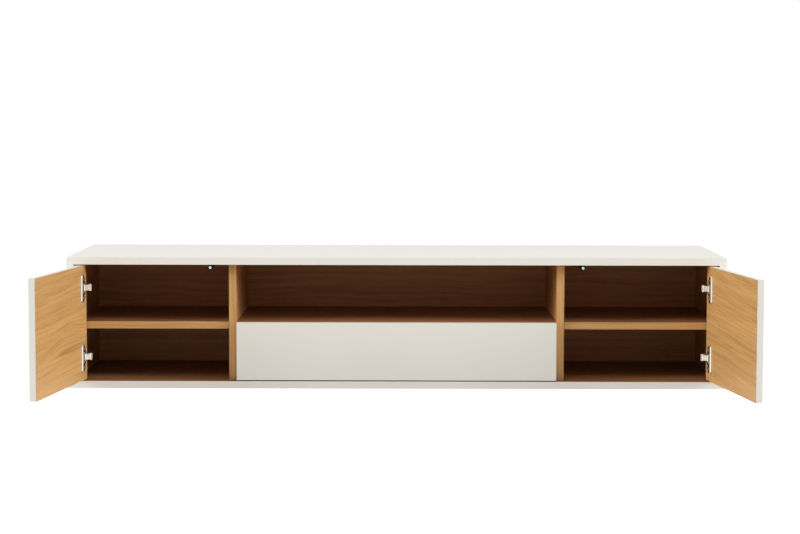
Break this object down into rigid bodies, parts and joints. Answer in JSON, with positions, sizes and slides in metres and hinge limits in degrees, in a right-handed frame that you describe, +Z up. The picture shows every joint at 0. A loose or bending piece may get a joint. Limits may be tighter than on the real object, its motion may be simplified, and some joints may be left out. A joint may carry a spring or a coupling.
{
  "type": "floating media console",
  "caption": "Long low wall-hung cabinet, white outside and oak inside, with an open niche over a drawer between two shelved compartments behind inset doors.",
  "frame": {"origin": "on the wall, in the middle of the wall cleat's rear face, centred on the width", "axes": "+X to the viewer's right along the width, +Y out of the back into the wall, so the front faces -Y, +Z up"},
  "size_m": [1.6544, 0.8009, 0.32],
  "materials": {
    "white_lacquer": "satin white lacquer on wood-fibre board",
    "oak_veneer": "oak veneer, clear matt lacquer",
    "raw_wood": "planed softwood and plywood, unfinished",
    "drawer_board": "pale foil on particle board",
    "nickel_steel": "nickel-plated pressed steel",
    "zinc_steel": "zinc-plated steel",
    "black_plastic": "moulded, fine matt grain",
    "white_plastic": "moulded, smooth"
  },
  "bodies": {
    "cabinet": {"top_panel": "white_lacquer", "bottom_panel": "white_lacquer", "left_side_panel": "white_lacquer", "right_side_panel": "white_lacquer", "left_divider": "oak_veneer", "right_divider": "oak_veneer", "niche_shelf": "oak_veneer", "back_panel": "oak_veneer", "left_shelf": "oak_veneer", "right_shelf": "oak_veneer", "rear_stretcher": "raw_wood", "lower_spacer": "raw_wood", "cabinet_cleat": "raw_wood", "wall_cleat": "raw_wood", "left_shelf_pin_outer_front": "zinc_steel", "left_shelf_pin_outer_rear": "zinc_steel", "left_shelf_pin_inner_front": "zinc_steel", "left_shelf_pin_inner_rear": "zinc_steel", "right_shelf_pin_outer_front": "zinc_steel", "right_shelf_pin_outer_rear": "zinc_steel", "right_shelf_pin_inner_front": "zinc_steel", "right_shelf_pin_inner_rear": "zinc_steel", "left_upper_hinge_arm": "nickel_steel", "left_upper_hinge_plate": "nickel_steel", "left_lower_hinge_arm": "nickel_steel", "left_lower_hinge_plate": "nickel_steel", "left_latch_housing": "black_plastic", "left_runner_cabinet_member": "zinc_steel", "right_upper_hinge_arm": "nickel_steel", "right_upper_hinge_plate": "nickel_steel", "right_lower_hinge_arm": "nickel_steel", "right_lower_hinge_plate": "nickel_steel", "right_latch_housing": "black_plastic", "right_runner_cabinet_member": "zinc_steel"},
    "left_door": {"left_door_panel": "white_lacquer", "left_door_lining": "oak_veneer", "left_upper_hinge_cup": "nickel_steel", "left_lower_hinge_cup": "nickel_steel"},
    "left_upper_link": {"left_upper_hinge_link": "nickel_steel"},
    "left_lower_link": {"left_lower_hinge_link": "nickel_steel"},
    "left_plunger": {"left_latch_plunger": "white_plastic"},
    "right_door": {"right_door_panel": "white_lacquer", "right_door_lining": "oak_veneer", "right_upper_hinge_cup": "nickel_steel", "right_lower_hinge_cup": "nickel_steel"},
    "right_upper_link": {"right_upper_hinge_link": "nickel_steel"},
    "right_lower_link": {"right_lower_hinge_link": "nickel_steel"},
    "right_plunger": {"right_latch_plunger": "white_plastic"},
    "drawer": {"drawer_front": "white_lacquer", "drawer_inner_front": "drawer_board", "drawer_left_side": "drawer_board", "drawer_right_side": "drawer_board", "drawer_back": "drawer_board", "drawer_bottom": "drawer_board", "left_runner_drawer_member": "zinc_steel", "right_runner_drawer_member": "zinc_steel"},
    "left_middle_member": {"left_runner_middle_member": "zinc_steel"},
    "right_middle_member": {"right_runner_middle_member": "zinc_steel"}
  },
  "joints": [
    {"name": "left_door_hinge", "type": "hinge", "parent": "cabinet", "child": "left_door", "pos_m": [-0.765, -0.4295, -0.0415], "axis": [0, 0, 1], "range_deg": [0, 98]},
    {"name": "left_upper_link_pivot", "type": "hinge", "parent": "cabinet", "child": "left_upper_link", "pos_m": [-0.74603, -0.41798, 0.043], "axis": [0, 0, 1], "range_deg": [-34, 0]},
    {"name": "left_lower_link_pivot", "type": "hinge", "parent": "cabinet", "child": "left_lower_link", "pos_m": [-0.74603, -0.41798, -0.126], "axis": [0, 0, 1], "range_deg": [-34, 0]},
    {"name": "left_latch_press", "type": "slide", "parent": "cabinet", "child": "left_plunger", "axis": [0, 1, 0], "range_m": [0, 0.003], "stiffness_N_per_m": 400, "springref_m": -0.004},
    {"name": "right_door_hinge", "type": "hinge", "parent": "cabinet", "child": "right_door", "pos_m": [0.765, -0.4295, -0.0415], "axis": [0, 0, 1], "range_deg": [-98, 0]},
    {"name": "right_upper_link_pivot", "type": "hinge", "parent": "cabinet", "child": "right_upper_link", "pos_m": [0.74603, -0.41798, 0.043], "axis": [0, 0, 1], "range_deg": [0, 34]},
    {"name": "right_lower_link_pivot", "type": "hinge", "parent": "cabinet", "child": "right_lower_link", "pos_m": [0.74603, -0.41798, -0.126], "axis": [0, 0, 1], "range_deg": [0, 34]},
    {"name": "right_latch_press", "type": "slide", "parent": "cabinet", "child": "right_plunger", "axis": [0, 1, 0], "range_m": [0, 0.003], "stiffness_N_per_m": 400, "springref_m": -0.004},
    {"name": "drawer_slide", "type": "slide", "parent": "cabinet", "child": "drawer", "axis": [0, -1, 0], "range_m": [-0.002, 0.33]},
    {"name": "left_runner_slide", "type": "slide", "parent": "cabinet", "child": "left_middle_member", "axis": [0, -1, 0], "range_m": [-0.001, 0.165]},
    {"name": "right_runner_slide", "type": "slide", "parent": "cabinet", "child": "right_middle_member", "axis": [0, -1, 0], "range_m": [-0.001, 0.165]}
  ],
  "couplings": [
    {"joint": "left_upper_link_pivot", "follows": "left_door_hinge", "ratio": -0.34678},
    {"joint": "left_lower_link_pivot", "follows": "left_door_hinge", "ratio": -0.34678},
    {"joint": "right_upper_link_pivot", "follows": "right_door_hinge", "ratio": -0.34678},
    {"joint": "right_lower_link_pivot", "follows": "right_door_hinge", "ratio": -0.34678},
    {"joint": "left_runner_slide", "follows": "drawer_slide", "ratio": 0.5},
    {"joint": "right_runner_slide", "follows": "drawer_slide", "ratio": 0.5}
  ]
}
